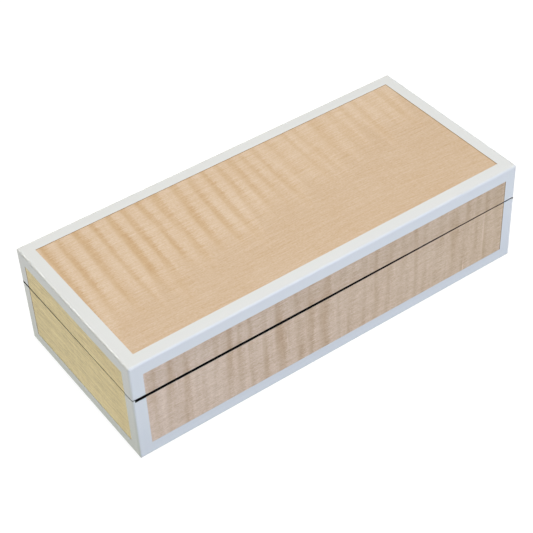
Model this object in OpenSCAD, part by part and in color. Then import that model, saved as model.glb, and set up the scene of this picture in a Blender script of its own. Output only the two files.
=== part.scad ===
// Long lacquered box with figured veneer panels and a lift-off lid.
//
// The carcass is six boards: a bottom board, a top board and mitred walls, parted by an
// open seam into a base and a lid. A raised lacquered border frames a veneer panel on the
// top and on all four sides. Inside, a black liner stands up past the base's rim as a lip.
// The lid slips over that lip and rests on it, which keeps the seam open all the way round.
//
// Millimetres. X runs along the box, the front faces -Y, +Z is up, and the origin is on
// the surface that the box stands on, under its middle.

/* [Box] */
// Length over the lacquer, along X
box_l = 270; // [200:1:400]
// Width over the lacquer, along Y
box_w = 120; // [90:1:180]
// Height of the base, from its lower arris to its rim
base_h = 45.5; // [30:0.5:80]
// Height of the lid, from its rim to its top
lid_h = 23.8; // [20:0.1:40]
// Open seam between the rim of the base and the rim of the lid
seam_gap = 0.7; // [0.4:0.1:1.5]
// Radius of the outer arrises
arris_r = 1.4; // [1.4:0.1:3]
// Radius that eases the outer edge of each rim
rim_r = 0.4; // [0.2:0.1:0.6]

/* [Boards] */
// Thickness of the mitred walls
wall_t = 8; // [6:0.5:10]
// Thickness of the top board and of the bottom board
board_t = 6; // [5:0.5:7]

/* [Veneer panels] */
// Width of the lacquered border round each panel
border_w = 8.2; // [7.5:0.1:14]
// Thickness of the veneer
veneer_t = 0.6; // [0.5:0.1:1]
// How far the veneer lies below the face of the border
veneer_sink = 0.1; // [0.1:0.1:0.6]

/* [Lining] */
// Thickness of the liner boards
liner_t = 3; // [2.5:0.1:4]
// Height of the lip that stands up past the base's rim
lip_h = 6; // [4:0.5:10]
// Clearance between the lip and the walls of the lid
lip_clearance = 0.4; // [0.3:0.1:0.6]
// Chamfer that leads the lid over the lip
lip_chamfer = 0.8; // [0.4:0.1:1]
// Thickness of the pads on the floor and under the top board
pad_t = 1.5; // [1:0.1:2.5]
// Gap round each pad
pad_gap = 0.3; // [0.2:0.1:0.5]

/* [Underside] */
// Thickness of the felt under the base
felt_t = 1; // [0.8:0.1:1.5]
// How far the felt stands below the lacquer
felt_stand = 0.3; // [0.2:0.1:0.5]
// Distance from the edge of the felt to the outer faces
felt_inset = 6; // [4:0.5:15]
// Corner radius of the felt
felt_r = 3; // [2:0.5:6]

/* [Hidden] */

$fn = 64;
// How far a cutting or bounding shape runs past the solid that it works on
past = 1;

// Heights above the surface that the box stands on
base_low = felt_stand;
floor_top = base_low + board_t;
base_rim = base_low + base_h;
lip_top = base_rim + lip_h;
lid_rim = base_rim + seam_gap;
lid_top = lid_rim + lid_h;
ceiling = lid_top - board_t;

// Depth of the recess that a panel is laid in
recess_d = veneer_sink + veneer_t;
// Distance from the outer faces to the inside of the lining
inside_t = wall_t + liner_t;

lacquer_white = [0.93, 0.94, 0.94];
sycamore = [0.85, 0.74, 0.62];
lining_black = [0.06, 0.06, 0.07];
felt_grey = [0.16, 0.16, 0.18];

// ---------- sides ----------
// Each side is drawn as if it were the front and then turned into its place.

function is_long(side) = side == "front" || side == "back";
function side_turn(side) = side == "front" ? 0 : side == "right" ? 90 : side == "back" ? 180 : 270;
function side_span(side) = is_long(side) ? box_l : box_w;
// The outer face of a side, in the frame that the side is drawn in
function side_face(side) = (is_long(side) ? -box_w : -box_l) / 2;

module on_side(side) {
    rotate([0, 0, side_turn(side)]) children();
}

// ---------- shared shapes ----------

// A rectangle about the origin with rounded corners
module plan_outline(length, width, r) {
    square([length - 2 * r, width], center = true);
    square([length, width - 2 * r], center = true);
    for (x = [-1, 1], y = [-1, 1])
        translate([x * (length / 2 - r), y * (width / 2 - r)]) circle(r);
}

// A block's outline seen from one side, with its two lower or its two upper corners rounded
module side_outline(length, low, high, r, rounded_end) {
    flat_low = rounded_end == "low" ? low + r : low;
    flat_high = rounded_end == "high" ? high - r : high;
    translate([-length / 2, flat_low]) square([length, flat_high - flat_low]);
    translate([-length / 2 + r, low]) square([length - 2 * r, high - low]);
    for (x = [-1, 1])
        translate([x * (length / 2 - r), rounded_end == "low" ? flat_low : flat_high]) circle(r);
}

// The box's outer form between two heights, with the edges rounded round one end
module outer_block(low, high, r, rounded_end) {
    intersection() {
        translate([0, 0, low - past]) linear_extrude(high - low + 2 * past)
            plan_outline(box_l, box_w, arris_r);
        rotate([90, 0, 0]) linear_extrude(box_w + 2 * past, center = true)
            side_outline(box_l, low, high, r, rounded_end);
        rotate([90, 0, 90]) linear_extrude(box_l + 2 * past, center = true)
            side_outline(box_w, low, high, r, rounded_end);
    }
}

// A strip along one side with mitred ends, between two depths behind the outer face
module mitred_strip(side, depth_1, depth_2, low, high) {
    half = side_span(side) / 2;
    face = side_face(side);
    on_side(side) translate([0, 0, low]) linear_extrude(high - low) polygon([
        [-half + depth_1, face + depth_1],
        [half - depth_1, face + depth_1],
        [half - depth_2, face + depth_2],
        [-half + depth_2, face + depth_2]
    ]);
}

// A flat slab inside one side's border, between two depths behind the outer face
module side_slab(side, depth_1, depth_2, low, high) {
    width = side_span(side) - 2 * border_w;
    on_side(side) translate([-width / 2, side_face(side) + depth_1, low])
        cube([width, depth_2 - depth_1, high - low]);
}

// A wall between two heights, with a recess for its veneer between two more
module wall(side, low, high, rim_end, recess_low, recess_high) {
    color(lacquer_white) difference() {
        intersection() {
            outer_block(low, high, rim_r, rim_end);
            mitred_strip(side, -past, wall_t, low - past, high + past);
        }
        side_slab(side, -past, recess_d, recess_low, recess_high);
    }
}

module side_veneer(side, low, high) {
    color(sycamore) side_slab(side, veneer_sink, recess_d, low, high);
}

// A flat slab over the whole plan of the box, less a margin round it
module plan_slab(margin, low, high) {
    length = box_l - 2 * margin;
    width = box_w - 2 * margin;
    translate([-length / 2, -width / 2, low]) cube([length, width, high - low]);
}

// The felt's form, which also cuts the recess that it is laid in
module felt_slab(low, high) {
    translate([0, 0, low]) linear_extrude(high - low)
        plan_outline(box_l - 2 * felt_inset, box_w - 2 * felt_inset, felt_r);
}

// ---------- base ----------

module base_bottom_board() {
    color(lacquer_white) difference() {
        outer_block(base_low, floor_top, arris_r, "low");
        felt_slab(base_low - past, felt_t);
    }
}

module base_wall(side) {
    wall(side, floor_top, base_rim, "high", base_low + border_w, base_rim + past);
}

module base_veneer(side) {
    side_veneer(side, base_low + border_w, base_rim);
}

// The part above the rim is thinner outside, for the lid's clearance, and leads the lid on
module base_liner(side) {
    lip_face = wall_t + lip_clearance;
    color(lining_black) intersection() {
        mitred_strip(side, wall_t, inside_t, floor_top, lip_top);
        on_side(side) rotate([90, 0, 90]) linear_extrude(side_span(side), center = true)
            translate([side_face(side), 0]) polygon([
                [wall_t, floor_top],
                [inside_t, floor_top],
                [inside_t, lip_top],
                [lip_face + lip_chamfer, lip_top],
                [lip_face, lip_top - lip_chamfer],
                [lip_face, base_rim],
                [wall_t, base_rim]
            ]);
    }
}

module floor_pad() {
    color(felt_grey) plan_slab(inside_t + pad_gap, floor_top, floor_top + pad_t);
}

module underside_felt() {
    color(felt_grey) felt_slab(0, felt_t);
}

// ---------- lid ----------

module lid_top_board() {
    color(lacquer_white) difference() {
        outer_block(ceiling, lid_top, arris_r, "high");
        plan_slab(border_w, lid_top - recess_d, lid_top + past);
    }
}

module lid_wall(side) {
    wall(side, lid_rim, ceiling, "low", lid_rim - past, lid_top - border_w);
}

module lid_top_veneer() {
    color(sycamore) plan_slab(border_w, lid_top - recess_d, lid_top - veneer_sink);
}

module lid_veneer(side) {
    side_veneer(side, lid_rim, lid_top - border_w);
}

// The lower edge rests on the lip
module lid_liner(side) {
    color(lining_black) mitred_strip(side, wall_t, inside_t, lip_top, ceiling);
}

module ceiling_pad() {
    color(felt_grey) plan_slab(inside_t + pad_gap, ceiling - pad_t, ceiling);
}

// ---------- nodes ----------

base_bottom_board();
base_wall("front");  // base_front_wall
base_wall("back");  // base_back_wall
base_wall("left");  // base_left_wall
base_wall("right");  // base_right_wall
base_veneer("front");  // base_front_veneer
base_veneer("back");  // base_back_veneer
base_veneer("left");  // base_left_veneer
base_veneer("right");  // base_right_veneer
base_liner("front");  // base_front_liner
base_liner("back");  // base_back_liner
base_liner("left");  // base_left_liner
base_liner("right");  // base_right_liner
floor_pad();
underside_felt();
lid_top_board();
lid_wall("front");  // lid_front_wall
lid_wall("back");  // lid_back_wall
lid_wall("left");  // lid_left_wall
lid_wall("right");  // lid_right_wall
lid_top_veneer();
lid_veneer("front");  // lid_front_veneer
lid_veneer("back");  // lid_back_veneer
lid_veneer("left");  // lid_left_veneer
lid_veneer("right");  // lid_right_veneer
lid_liner("front");  // lid_front_liner
lid_liner("back");  // lid_back_liner
lid_liner("left");  // lid_left_liner
lid_liner("right");  // lid_right_liner
ceiling_pad();
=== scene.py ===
import math

import bmesh
import bpy
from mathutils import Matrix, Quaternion, Vector

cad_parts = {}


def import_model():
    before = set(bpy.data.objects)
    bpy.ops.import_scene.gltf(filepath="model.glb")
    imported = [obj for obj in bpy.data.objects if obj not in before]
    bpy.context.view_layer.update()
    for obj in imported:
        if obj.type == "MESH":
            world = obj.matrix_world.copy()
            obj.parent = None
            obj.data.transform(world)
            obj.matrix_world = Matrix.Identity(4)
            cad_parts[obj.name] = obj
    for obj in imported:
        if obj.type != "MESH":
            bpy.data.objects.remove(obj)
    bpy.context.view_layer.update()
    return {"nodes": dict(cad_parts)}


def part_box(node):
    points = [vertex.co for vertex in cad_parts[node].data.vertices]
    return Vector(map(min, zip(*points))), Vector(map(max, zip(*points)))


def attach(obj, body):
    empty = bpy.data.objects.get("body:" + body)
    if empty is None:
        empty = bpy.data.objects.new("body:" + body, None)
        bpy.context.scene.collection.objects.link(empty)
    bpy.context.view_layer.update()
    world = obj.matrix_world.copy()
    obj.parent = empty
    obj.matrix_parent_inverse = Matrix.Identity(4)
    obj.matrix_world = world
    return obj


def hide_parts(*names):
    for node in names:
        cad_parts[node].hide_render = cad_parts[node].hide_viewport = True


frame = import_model()

MM = 0.001
PARTS = ("base", "lid")
SIDES = ("front", "back", "left", "right")


# ---------- the box's own measures, from the frame, in millimetres ----------

def span(node, axis):
    """Lowest and highest point of a CAD node along an axis, in millimetres."""
    low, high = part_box(node)
    return low[axis] / MM, high[axis] / MM


HALF_LENGTH = span("lid_top_board", 0)[1]
HALF_WIDTH = span("lid_top_board", 1)[1]
TOP = span("lid_top_board", 2)[1]
# The panels: half their length along X, half their width along Y, and their heights on the walls
PANEL_X = span("lid_top_veneer", 0)[1]
PANEL_Y = span("lid_top_veneer", 1)[1]
PANEL_LOW = span("base_front_veneer", 2)[0]
PANEL_HIGH = span("lid_front_veneer", 2)[1]
# The seam between the two rims
SEAM_LOW = span("base_front_veneer", 2)[1]
SEAM_HIGH = span("lid_front_veneer", 2)[0]


# ---------- node graphs ----------

class Graph:
    """A Principled material, with short calls that add and join its nodes."""

    def __init__(self, name):
        self.material = bpy.data.materials.new(name)
        self.material.use_nodes = True
        self.tree = self.material.node_tree
        self.shader = self.tree.nodes["Principled BSDF"]

    def node(self, kind, inputs=(), **settings):
        """Adds a node. inputs pairs a socket's name or number with a value or with another socket."""
        made = self.tree.nodes.new("ShaderNode" + kind)
        for key, value in settings.items():
            setattr(made, key, value)
        for key, value in dict(inputs).items():
            self.put(made.inputs[key], value)
        return made

    def put(self, socket, value):
        """Joins a socket to the value, or sets it to the value if that is a number or a colour."""
        if isinstance(value, bpy.types.NodeSocket):
            self.tree.links.new(value, socket)
        else:
            socket.default_value = value

    def surface(self, **values):
        """Sets the shader's sockets, such as Base_Color=..."""
        for key, value in values.items():
            self.put(self.shader.inputs[key.replace("_", " ")], value)
        return self.material

    def place(self):
        """The three object coordinates, in millimetres."""
        where = self.node("TexCoord").outputs["Object"]
        scaled = self.node("VectorMath", {0: where, "Scale": 1 / MM}, operation="SCALE")
        parts = self.node("SeparateXYZ", {0: scaled.outputs[0]})
        return tuple(parts.outputs)

    def math(self, operation, *values):
        return self.node("Math", enumerate(values), operation=operation).outputs[0]

    def add(self, a, b):
        return self.math("ADD", a, b)

    def times(self, a, b):
        return self.math("MULTIPLY", a, b)

    def above(self, value, limit):
        """1 where value is greater than limit, else 0."""
        return self.math("GREATER_THAN", value, limit)

    def below(self, value, limit):
        """1 where value is less than limit, else 0."""
        return self.math("LESS_THAN", value, limit)

    def inside(self, value, low, high):
        """1 where value lies between low and high, else 0."""
        return self.times(self.above(value, low), self.below(value, high))

    def add_scaled(self, base, amount, scale):
        """base + amount * scale"""
        return self.math("MULTIPLY_ADD", amount, scale, base)

    def noise(self, x, y, z=0.0, size=(1, 1, 1), detail=2.0, roughness=0.5, distortion=0.0):
        """Noise about 0, mostly from -0.5 to 0.5, with features of the given size along each axis."""
        at = [v if isinstance(v, (int, float)) else self.math("DIVIDE", v, s)
              for v, s in zip((x, y, z), size)]
        vector = self.node("CombineXYZ", enumerate(at)).outputs[0]
        made = self.node("TexNoise", {"Vector": vector, "Scale": 1.0, "Detail": detail,
                                      "Roughness": roughness, "Distortion": distortion})
        return self.math("SUBTRACT", made.outputs[0], 0.5)

    def ramp(self, value, low, high, to_low=0.0, to_high=1.0):
        """Goes smoothly from to_low to to_high as value goes from low to high."""
        sockets = {"Value": value, "From Min": low, "From Max": high, "To Min": to_low, "To Max": to_high}
        return self.node("MapRange", sockets, interpolation_type="SMOOTHSTEP").outputs[0]

    def mix(self, factor, a, b):
        """Colour a where factor is 0 and colour b where it is 1."""
        made = self.node("Mix", {0: factor}, data_type="RGBA")
        for socket, value in ((made.inputs[6], a), (made.inputs[7], b)):
            self.put(socket, value if isinstance(value, bpy.types.NodeSocket) else (*value, 1.0))
        return made.outputs[2]

    def shade(self, colour, amount, hue=(1.0, 1.0, 1.0)):
        """The colour, brighter where amount is above 0 and darker where it is below, by hue's shares."""
        shares = self.node("VectorMath", {0: hue, "Scale": amount}, operation="SCALE").outputs[0]
        factor = self.node("VectorMath", {0: shares, 1: (1.0, 1.0, 1.0)}, operation="ADD").outputs[0]
        return self.node("VectorMath", {0: colour, 1: factor}, operation="MULTIPLY").outputs[0]

    def bump(self, height, depth):
        """A bump whose height of 1 stands for a depth in millimetres."""
        return self.node("Bump", {"Height": height, "Distance": depth * MM, "Strength": 1.0}).outputs[0]


# ---------- materials ----------

# The lacquer's two tones, the liners' two, and the black on the rims, which is also painted seam shadow
WHITE_DULL, WHITE_BRIGHT = (0.654, 0.669, 0.655), (0.662, 0.675, 0.660)
LINER_DARK, LINER_PALE = (0.007, 0.007, 0.008), (0.013, 0.012, 0.012)
RIM_BLACK_AND_SEAM_SHADOW = (0.003, 0.003, 0.0035)
# Painted shade: the brown hairline on some recess sides, and the dark line at the far edges of a veneer
RECESS_SHADE_BROWN = (0.25, 0.14, 0.04)
VENEER_EDGE_SHADE_BROWN = (0.32, 0.19, 0.065)

# Widths and depths for the masks, in millimetres
SLACK = 0.05  # how far a mask reaches past the plane that it stops at
END_DEPTH = 1.5  # how far the rim's ends reach in from the box's end faces
FACE_DEPTH = 0.5  # how far in from an end face the lacquer belongs to that face
RECESS_DEPTH = 1.1  # a little deeper than any recess
SHADE_REACH = 0.14  # how far past the side of a recess the painted shade line reaches
SLIM = 0.02  # how far inside the side of a recess the painted shade line starts
SHADE_LINE_END, SHADE_LINE_SIDE = 0.25, 0.2  # width of the painted shade line at a panel's far end and along its far side


def rim_and_seam_shadow_mask(g, x, y, z):
    """How black the rims are. The rims are black, and the black runs on over the base's eased edge as
    painted seam shadow, further at two opposite corners, and is fainter at the other two, so that the seam
    looks lighter there."""
    at_end = g.above(g.math("ABSOLUTE", x), HALF_LENGTH - END_DEPTH)
    on_side = g.math("SUBTRACT", 1.0, at_end)
    # 1 at the corners where the seam looks widest and -1 at the other two
    skew = g.times(g.times(x, y), 1 / (HALF_LENGTH * HALF_WIDTH))
    # The painted seam shadow: how far the black runs down over the base's eased edge, in millimetres
    wrap = g.add(g.times(g.ramp(skew, -1.0, 0.35, 0.0, 1.25), on_side),
                 g.times(g.math("MULTIPLY_ADD", skew, -0.27, 0.12), at_end))
    low = g.math("SUBTRACT", SEAM_LOW - SLACK, g.math("MAXIMUM", wrap, 0.0))
    # Painted shade strength: the black is fainter at two corners, so that the seam looks lighter there
    seam_shadow_strength = g.add(g.times(g.ramp(skew, -1.0, -0.2, 0.8, 1.0), on_side),
                 g.times(g.ramp(skew, -0.3, 1.0, 1.0, 0.35), at_end))
    return g.times(g.inside(z, low, SEAM_HIGH + SLACK), seam_shadow_strength)


def recess_shade_mask(g, x, y, z):
    """1 on the recess sides where a hairline of painted shade goes: the back and right sides of the recess
    in the top, the right side of each recess in the front and back, and the back side of each in the ends."""
    far_x, far_y = g.math("ABSOLUTE", x), g.math("ABSOLUTE", y)
    at_x = g.inside(far_x, PANEL_X - SLIM, PANEL_X + SHADE_REACH)
    at_y = g.inside(far_y, PANEL_Y - SLIM, PANEL_Y + SHADE_REACH)
    in_x, in_y = g.below(far_x, PANEL_X + SHADE_REACH), g.below(far_y, PANEL_Y + SHADE_REACH)
    right, behind = g.above(x, 0.0), g.above(y, 0.0)
    back_edge = g.times(g.times(at_y, in_x), behind)
    right_edge = g.times(g.times(at_x, in_y), right)
    top = g.times(g.above(z, TOP - RECESS_DEPTH), g.math("MAXIMUM", back_edge, right_edge))
    on_long = g.times(g.times(at_x, right), g.above(far_y, HALF_WIDTH - RECESS_DEPTH))
    on_short = g.times(g.times(at_y, behind), g.above(far_x, HALF_LENGTH - RECESS_DEPTH))
    on_wall = g.inside(z, PANEL_LOW + SLIM, PANEL_HIGH - SLIM)
    return g.math("MAXIMUM", top, g.times(g.math("MAXIMUM", on_long, on_short), on_wall))


def white_lacquer():
    """Off-white lacquer, smooth but for a faint orange peel, with the black of the rims. Painted shade
    darkens it towards the foot, at the ends and on some recess sides, and painted seam shadow runs on from
    the rims.
    """
    g = Graph("white_lacquer")
    x, y, z = g.place()
    cloud = g.noise(x, y, z, size=(45, 45, 45), detail=2)
    dust = g.ramp(g.noise(x, y, z, size=(0.9, 0.9, 0.9), detail=0), 0.30, 0.36)
    colour = g.mix(g.ramp(cloud, -0.2, 0.2), WHITE_DULL, WHITE_BRIGHT)
    colour = g.shade(colour, g.times(dust, -0.03))
    # Painted shade: darker towards the foot, and darker still at the ends
    colour = g.shade(colour, g.ramp(z, 2.0, 48.0, -0.07, 0.0), (1.0, 0.9, 0.6))
    at_end = g.above(g.math("ABSOLUTE", x), HALF_LENGTH - FACE_DEPTH)
    colour = g.shade(colour, g.times(at_end, g.ramp(z, 2.0, 62.0, -0.10, -0.02)), (0.9, 0.75, 1.9))
    # Painted shade: darkest on the rounding that turns in under the box
    colour = g.shade(colour, g.ramp(z, 0.7, 1.9, -0.6, 0.0))
    # Painted shade: a brown hairline on the recess sides that face the back and the right
    colour = g.mix(recess_shade_mask(g, x, y, z), colour, RECESS_SHADE_BROWN)
    # The rims' black, and the painted seam shadow that runs on from it
    black = rim_and_seam_shadow_mask(g, x, y, z)
    colour = g.mix(black, colour, RIM_BLACK_AND_SEAM_SHADOW)
    peel = g.noise(x, y, z, size=(2.6, 2.6, 2.6), detail=1)
    smear = g.noise(x, y, z, size=(30, 30, 30), detail=2)
    gloss = g.ramp(smear, -0.25, 0.25, 0.13, 0.17)
    # Metallic on the black keeps the painted seam shadow from reflecting
    return g.surface(Base_Color=colour, Roughness=g.add_scaled(gloss, black, 0.5), Metallic=black,
                     Normal=g.bump(peel, 0.004))


def veneer(name, along, across, seed, light, dark, curl=1.0, pitch=10.5, even=1.0, lean=0.0, fade=None,
           slant=0.0, fibre=1.0, weak_end=1.0, calm=(1.0, 1.0, 1.0), dusk=0.0, ripple=0.10, line=0.0,
           golden=(0.6, 1.0, 1.65), might_size=6.5, speck=0.48):
    """Figured sycamore. along and across are the panel's axes, 0 to 2, with the grain along the first.

    The curl is a row of soft dark bands across the grain, pitch millimetres apart, and even says how
    regular the row is. lean tilts the bands and slant tilts the fibres. fade is the stretch of the across
    axis over which the bands die out, weak_end is what is left of them at the high end of the along axis,
    and calm tints the wood that has none. might_size is the length along the grain over which the bands
    vary in strength. fibre is the strength of the fibres and speck that of the flecks among them. dusk
    darkens the panel along the grain, ripple is the strength of the fine waves between the bands, and line
    that of the thin pale lines across the grain. golden is how much of the grain's contrast each of red,
    green and blue has, so dark grain is also warmer.
    """
    g = Graph(name)
    place = g.place()
    u, v = place[along], place[across]

    # The fibres run along the grain. They wander a little, and are fine and long
    drift = g.noise(u, v, seed, size=(90, 60, 1), detail=1)
    tilt = g.ramp(v, -45, 25, slant, 0.0) if slant else 0.0
    row = g.add_scaled(g.add_scaled(v, drift, 9), u, tilt) if slant else g.add_scaled(v, drift, 3)
    thread = g.noise(u, row, seed + 1.9, size=(10, 0.6, 1), detail=3, roughness=0.65)
    streak = g.noise(u, row, seed + 2.3, size=(50, 1.8, 1), detail=2)
    fleck = g.noise(u, row, seed + 4.2, size=(1.5, 0.7, 1), detail=2, roughness=0.7)
    patch = g.noise(u, v, seed + 6.4, size=(60, 40, 1), detail=2)
    bright = g.ramp(g.noise(u, row, seed + 9.1, size=(20, 0.55, 1), detail=1), 0.14, 0.26)

    # The curl: a wave along the grain, whose phase wanders and whose edges the fibres break up
    wander = g.noise(u, v, seed + 3.1, size=(38, 240, 1), detail=1.5)
    waver = g.noise(u, v, seed + 5.3, size=(9, 16, 1), detail=2)
    leaned = g.math("MULTIPLY_ADD", v, -lean, u)
    frayed = g.add_scaled(g.add_scaled(leaned, thread, 4.5), fleck, 1.6)
    phase = g.math("DIVIDE", frayed, pitch)
    phase = g.add_scaled(g.add_scaled(phase, wander, 2.4), waver, 0.16)
    wave = g.times(g.math("COSINE", g.times(phase, 2 * math.pi)), even)
    might = g.noise(frayed, v, seed + 7.7, size=(might_size, 75, 1), detail=2, roughness=0.6)
    swell = g.add_scaled(wave, might, 2.8)
    band = g.ramp(swell, -0.3, 1.5)
    # glow is painted sheen: the wood beside the bands a little lighter, as the curl shimmers
    glow = g.ramp(swell, -0.2, -1.4)
    small = g.noise(frayed, v, seed + 10.3, size=(2.4, 34, 1), detail=1)
    reach = 1.0
    if fade:
        edge = g.noise(leaned, v, seed + 8.5, size=(8, 80, 1), detail=1)
        reach = g.ramp(g.add_scaled(g.add_scaled(v, u, -0.20), edge, 55), *fade)
        band = g.times(band, reach)
        glow = g.times(glow, reach)
        small = g.times(small, g.ramp(reach, 0.0, 1.0, 0.75, 1.0))
    if weak_end < 1:
        band = g.times(band, g.ramp(u, -0.6 * HALF_LENGTH, 0.3 * HALF_LENGTH, 1.0, weak_end))
    band = g.times(band, curl)

    still = tuple(part * share for part, share in zip(light, calm))
    colour = g.mix(reach, still, light) if fade else light
    colour = g.mix(band, colour, dark)
    tone = g.add_scaled(g.times(thread, 0.46 * fibre), streak, 0.16 * fibre)
    tone = g.add_scaled(tone, fleck, speck * fibre)
    tone = g.add_scaled(tone, bright, 0.08 * fibre)
    tone = g.add_scaled(tone, patch, 0.09)
    tone = g.add_scaled(tone, glow, 0.04 * curl)
    tone = g.add_scaled(tone, small, ripple)
    if line:
        across_line = g.noise(g.add_scaled(u, fleck, 0.6), v, seed + 12.6, size=(1.5, 38, 1), detail=1)
        tone = g.add_scaled(tone, g.ramp(across_line, 0.20, 0.32), line)
    colour = g.shade(colour, tone, golden)
    if dusk:
        colour = g.shade(colour, g.times(u, -dusk / HALF_LENGTH), (0.6, 0.9, 1.8))
    # Painted shade: a thin dark line along the far end of the panel, and on the top along its back too
    edge_shade = g.above(u, (PANEL_X, PANEL_Y)[along] - SHADE_LINE_END)
    if across == 1:
        edge_shade = g.math("MAXIMUM", edge_shade, g.above(v, PANEL_Y - SHADE_LINE_SIDE))
    colour = g.mix(g.times(edge_shade, 0.8), colour, VENEER_EDGE_SHADE_BROWN)
    # The rims' black, and the painted seam shadow that runs on from it
    black = rim_and_seam_shadow_mask(g, *place)
    colour = g.mix(black, colour, RIM_BLACK_AND_SEAM_SHADOW)

    relief = g.add_scaled(g.times(thread, 0.5), wave, -0.25)
    # Metallic on the black keeps the painted seam shadow from reflecting
    return g.surface(Base_Color=colour, Roughness=g.add_scaled(0.42, black, 0.3), Metallic=black,
                     Normal=g.bump(relief, 0.03), Specular_IOR_Level=0.2)


def black_lacquer():
    """Black lacquer through which the grain of the liners just shows."""
    g = Graph("black_lacquer")
    x, y, z = g.place()
    cloud = g.noise(x, y, z, size=(30, 30, 30), detail=3)
    grain = g.noise(g.add(x, y), z, 0.0, size=(18, 0.5, 1), detail=3)
    colour = g.mix(g.ramp(cloud, -0.2, 0.2), LINER_DARK, LINER_PALE)
    return g.surface(Base_Color=colour, Roughness=g.ramp(cloud, -0.25, 0.25, 0.3, 0.4),
                     Normal=g.bump(grain, 0.02))


def cloth(name, dark, light, nap, sheen):
    """Suede cloth or felt: a short nap with brushed patches."""
    g = Graph(name)
    x, y, z = g.place()
    brushed = g.noise(x, y, z, size=(30, 14, 14), detail=3, roughness=0.6, distortion=0.6)
    fuzz = g.noise(x, y, z, size=(nap, nap, nap), detail=3, roughness=0.7)
    colour = g.mix(g.ramp(g.add_scaled(brushed, fuzz, 0.7), -0.22, 0.22), dark, light)
    return g.surface(Base_Color=colour, Roughness=0.92, Normal=g.bump(fuzz, 0.25),
                     Sheen_Weight=sheen, Sheen_Roughness=0.45)


def give(material, *nodes):
    """Puts the material on CAD nodes."""
    for node in nodes:
        slots = frame["nodes"][node].data.materials
        slots.clear()
        slots.append(material)


# The pale wood and the dark bands of each kind of panel
TOP_LIGHT, TOP_DARK = (0.590, 0.450, 0.312), (0.512, 0.349, 0.196)
FRONT_LIGHT, FRONT_DARK = (0.614, 0.462, 0.325), (0.500, 0.343, 0.211)
END_LIGHT, END_DARK = (0.895, 0.720, 0.345), (0.800, 0.622, 0.264)


def dim(colour, share):
    """The colour at a share of its brightness."""
    return tuple(part * share for part in colour)


give(white_lacquer(), "base_bottom_board", "lid_top_board",
     *(f"{part}_{side}_wall" for part in PARTS for side in SIDES))
give(veneer("veneer_top", 0, 1, 42.7, TOP_LIGHT, TOP_DARK, lean=0.07, fade=(-20, 16), slant=0.06,
            weak_end=0.45, calm=(0.93, 0.91, 0.885)), "lid_top_veneer")
for side, seed in (("front", 21.0), ("back", 34.0)):
    for part, share in (("base", 1.0), ("lid", 0.93)):
        give(veneer(f"veneer_{part}_{side}", 0, 2, seed, dim(FRONT_LIGHT, share), dim(FRONT_DARK, share),
                    curl=1.25, pitch=9.5, even=0.4, fibre=1.5, dusk=0.07, ripple=0.24, line=0.3,
                    golden=(0.76, 1.0, 1.3), might_size=9.0),
             f"{part}_{side}_veneer")
# The ends' colours are partly painted light, brighter than the wood's own, and the right end has them a
# little dimmer
for side, seed, share in (("left", 65.5, 1.0), ("right", 52.0, 0.92)):
    give(veneer(f"veneer_{side}", 1, 2, seed, dim(END_LIGHT, share), dim(END_DARK, share),
                curl=0.35, pitch=9.0, even=0.5, fibre=2.4, golden=(0.9, 1.0, 1.35), speck=0.2),
         f"base_{side}_veneer", f"lid_{side}_veneer")
give(black_lacquer(), *(f"{part}_{side}_liner" for part in PARTS for side in SIDES))


# ---------- soft pieces ----------

CORNER_STEPS = 8  # steps round each corner of an outline
EDGE_STEPS = (40, 16)  # steps along its long edges and along its short ones


def outline(half_x, half_y, corner):
    """Points round a rectangle with rounded corners, anticlockwise. Each call gives as many points."""
    points = []
    for turn, (sx, sy) in enumerate(((1, 1), (-1, 1), (-1, -1), (1, -1))):
        cx, cy = sx * (half_x - corner), sy * (half_y - corner)
        for i in range(CORNER_STEPS + 1):
            a = math.radians(90 * (turn + i / CORNER_STEPS))
            points.append((cx + corner * math.cos(a), cy + corner * math.sin(a)))
        # On along the straight edge to the next corner
        straight = EDGE_STEPS[turn % 2]
        nx, ny = ((-sx, sy), (sx, -sy))[turn % 2]
        ex, ey = nx * (half_x - corner), ny * (half_y - corner)
        a = math.radians(90 * (turn + 1))
        start = (cx + corner * math.cos(a), cy + corner * math.sin(a))
        end = (ex + corner * math.cos(a), ey + corner * math.sin(a))
        for i in range(1, straight):
            t = i / straight
            points.append((start[0] + (end[0] - start[0]) * t, start[1] + (end[1] - start[1]) * t))
    return points


TIGHTEST_CORNER = 0.4  # the least corner radius of an inner loop, in millimetres
CREASE = math.radians(50)  # edges that turn by more than this are drawn sharp


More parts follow.
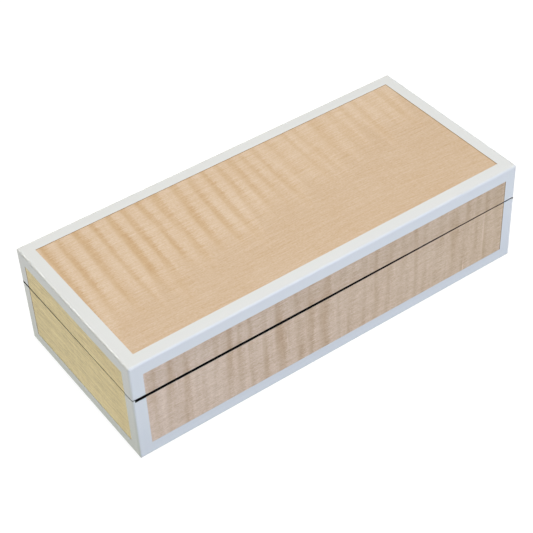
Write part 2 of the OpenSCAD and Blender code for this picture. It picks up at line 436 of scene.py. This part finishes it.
def soft_slab(name, node, body, material, corner, profile, down=False):
    """A cloth-covered pad or a felt that stands for a flat CAD node.

    profile lists how far in from the edge and how high above the glued face each loop of the surface
    lies, in millimetres. down turns the free face downwards.
    """
    low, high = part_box(node)
    half_x, half_y = (high.x - low.x) / 2 / MM, (high.y - low.y) / 2 / MM
    glued, way = (high.z / MM, -1) if down else (low.z / MM, 1)
    verts, faces = [], []
    for inset, rise in profile:
        for x, y in outline(half_x - inset, half_y - inset, max(corner - inset, TIGHTEST_CORNER)):
            verts.append((x * MM, y * MM, (glued + way * rise) * MM))
    count = len(verts) // len(profile)
    for loop in range(len(profile) - 1):
        for i in range(count):
            j = (i + 1) % count
            a, b = loop * count, (loop + 1) * count
            faces.append((a + i, a + j, b + j, b + i))
    faces.append(tuple(range(count - 1, -1, -1)))
    faces.append(tuple(range(len(verts) - count, len(verts))))
    mesh = bpy.data.meshes.new(name)
    mesh.from_pydata(verts, [], faces)
    shape = bmesh.new()
    shape.from_mesh(mesh)
    bmesh.ops.recalc_face_normals(shape, faces=shape.faces)
    shape.to_mesh(mesh)
    shape.free()
    mesh.polygons.foreach_set("use_smooth", [True] * len(mesh.polygons))
    mesh.set_sharp_from_angle(angle=CREASE)
    mesh.materials.append(material)
    made = bpy.data.objects.new(name, mesh)
    bpy.context.collection.objects.link(made)
    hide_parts(node)
    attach(made, body)
    return made


suede = cloth("suede", (0.010, 0.010, 0.011), (0.024, 0.023, 0.025), 0.35, 0.35)
felt = cloth("felt", (0.030, 0.030, 0.033), (0.062, 0.062, 0.066), 0.6, 0.2)
# The profiles from the glued face over the edge to the middle, and the corner radius, in millimetres
PAD_CORNER, FELT_CORNER = 1.5, 3.0
PAD_EDGE = ((0.1, 0), (0, 0.3), (0, 0.6), (0.12, 0.9), (0.4, 1.1), (0.9, 1.22), (2.5, 1.29), (8, 1.36),
            (20, 1.44), (35, 1.49), (46, 1.5))
FELT_EDGE = ((0, 0), (0, 0.62), (0.05, 0.78), (0.18, 0.92), (0.42, 0.99), (0.9, 1.0), (51, 1.0))

for node, body, down in (("floor_pad", "base", False), ("ceiling_pad", "lid", True)):
    pad = soft_slab("suede_" + node, node, body, suede, PAD_CORNER, PAD_EDGE, down)

felt_sheet = soft_slab("felt_sheet", "underside_felt", "base", felt, FELT_CORNER,
                       FELT_EDGE, True)


# ---------- stage, in metres ----------

# The floor lies just under the felt, and the tray round it just under the floor
FLOOR_HALF, FLOOR_HEIGHT = 3.0, -0.0002
TRAY_HALF, TRAY_LOW, TRAY_HIGH = 12.0, -0.001, 8.0
# The floor glows, so that it stays pale without a strong light on the box
PALE = (0.12, 0.12, 0.12, 1)
GLOW, GLOW_STRENGTH = (0.99, 1.0, 0.99, 1), 0.95
WORLD_STRENGTH = 0.06


def stage_piece(name, corners, faces, material):
    """Makes a mesh that isn't part of the object."""
    mesh = bpy.data.meshes.new(name)
    mesh.from_pydata(corners, [], faces)
    mesh.materials.append(material)
    made = bpy.data.objects.new(name, mesh)
    bpy.context.collection.objects.link(made)
    return made


def square(half, height):
    """The corners of a level square about the origin, anticlockwise, in metres."""
    return [(x * half, y * half, height) for x, y in ((-1, -1), (1, -1), (1, 1), (-1, 1))]


def floor_and_backdrop():
    """A floor, and a wide tray below and round it that stands in for the rest of the studio. Only the
    camera sees the tray, so it adds no light."""
    pale = Graph("pale_floor").surface(Base_Color=PALE, Roughness=1.0, Specular_IOR_Level=0.0,
                                       Emission_Color=GLOW, Emission_Strength=GLOW_STRENGTH)
    stage_piece("floor", square(FLOOR_HALF, FLOOR_HEIGHT), [range(4)], pale)
    walls = [(i, (i + 1) % 4, (i + 1) % 4 + 4, i + 4) for i in range(4)]
    tray = stage_piece("backdrop", square(TRAY_HALF, TRAY_LOW) + square(TRAY_HALF, TRAY_HIGH),
                       [range(4), *walls], pale)
    tray.visible_diffuse = False
    tray.visible_glossy = False
    tray.visible_transmission = False
    tray.visible_shadow = False


def direction(azimuth, elevation):
    """The way from the box, in degrees. Azimuth 0 is in front of it, and positive is to the right."""
    a, e = math.radians(azimuth), math.radians(elevation)
    return Vector((math.sin(a) * math.cos(e), -math.cos(a) * math.cos(e), math.sin(e)))


def area_light(name, azimuth, elevation, distance, size, power, colour, gleam_only=False):
    """A soft light that looks at the box. gleam_only lets it show in reflections and light nothing else."""
    towards = direction(azimuth, elevation)
    data = bpy.data.lights.new(name, "AREA")
    data.shape = "RECTANGLE"
    data.size, data.size_y = size
    data.energy = power
    data.color = colour
    made = bpy.data.objects.new(name, data)
    made.location = towards * distance
    made.rotation_euler = towards.to_track_quat("Z", "Y").to_euler()
    made.visible_diffuse = not gleam_only
    bpy.context.collection.objects.link(made)


def world():
    """A faint even light from all round."""
    made = bpy.data.worlds.new("studio")
    made.use_nodes = True
    background = made.node_tree.nodes["Background"]
    background.inputs["Color"].default_value = (1, 1, 1, 1)
    background.inputs["Strength"].default_value = WORLD_STRENGTH
    bpy.context.scene.world = made


def camera():
    """Looks from the front left and from above, through a long lens, with a slight tilt."""
    towards = direction(azimuth=-33.78, elevation=42.31)
    roll = math.radians(-3.06)
    distance = 0.8634
    aim = Vector((-7.47, -2.2, 28.83)) * MM
    data = bpy.data.cameras.new("camera")
    data.sensor_width = 36  # millimetres, as is the lens
    data.lens = 98.45
    data.clip_start = 0.01
    made = bpy.data.objects.new("camera", data)
    made.location = aim + towards * distance
    turned = towards.to_track_quat("Z", "Y") @ Quaternion((0, 0, 1), roll)
    made.rotation_euler = turned.to_euler()
    bpy.context.collection.objects.link(made)
    bpy.context.scene.camera = made


floor_and_backdrop()
world()
area_light("key", azimuth=0, elevation=88, distance=1.6, size=(0.5, 1.6), power=30.5,
           colour=(1.0, 0.957, 0.88))
area_light("front_fill", azimuth=10, elevation=28, distance=1.8, size=(1.6, 0.8), power=15.8,
           colour=(0.435, 0.6, 1.0))
area_light("rim", azimuth=-140, elevation=37.5, distance=1.8, size=(0.36, 0.14), power=6.0,
           colour=(1.0, 1.0, 1.0), gleam_only=True)
camera()
bpy.context.scene.view_settings.view_transform = "Standard"
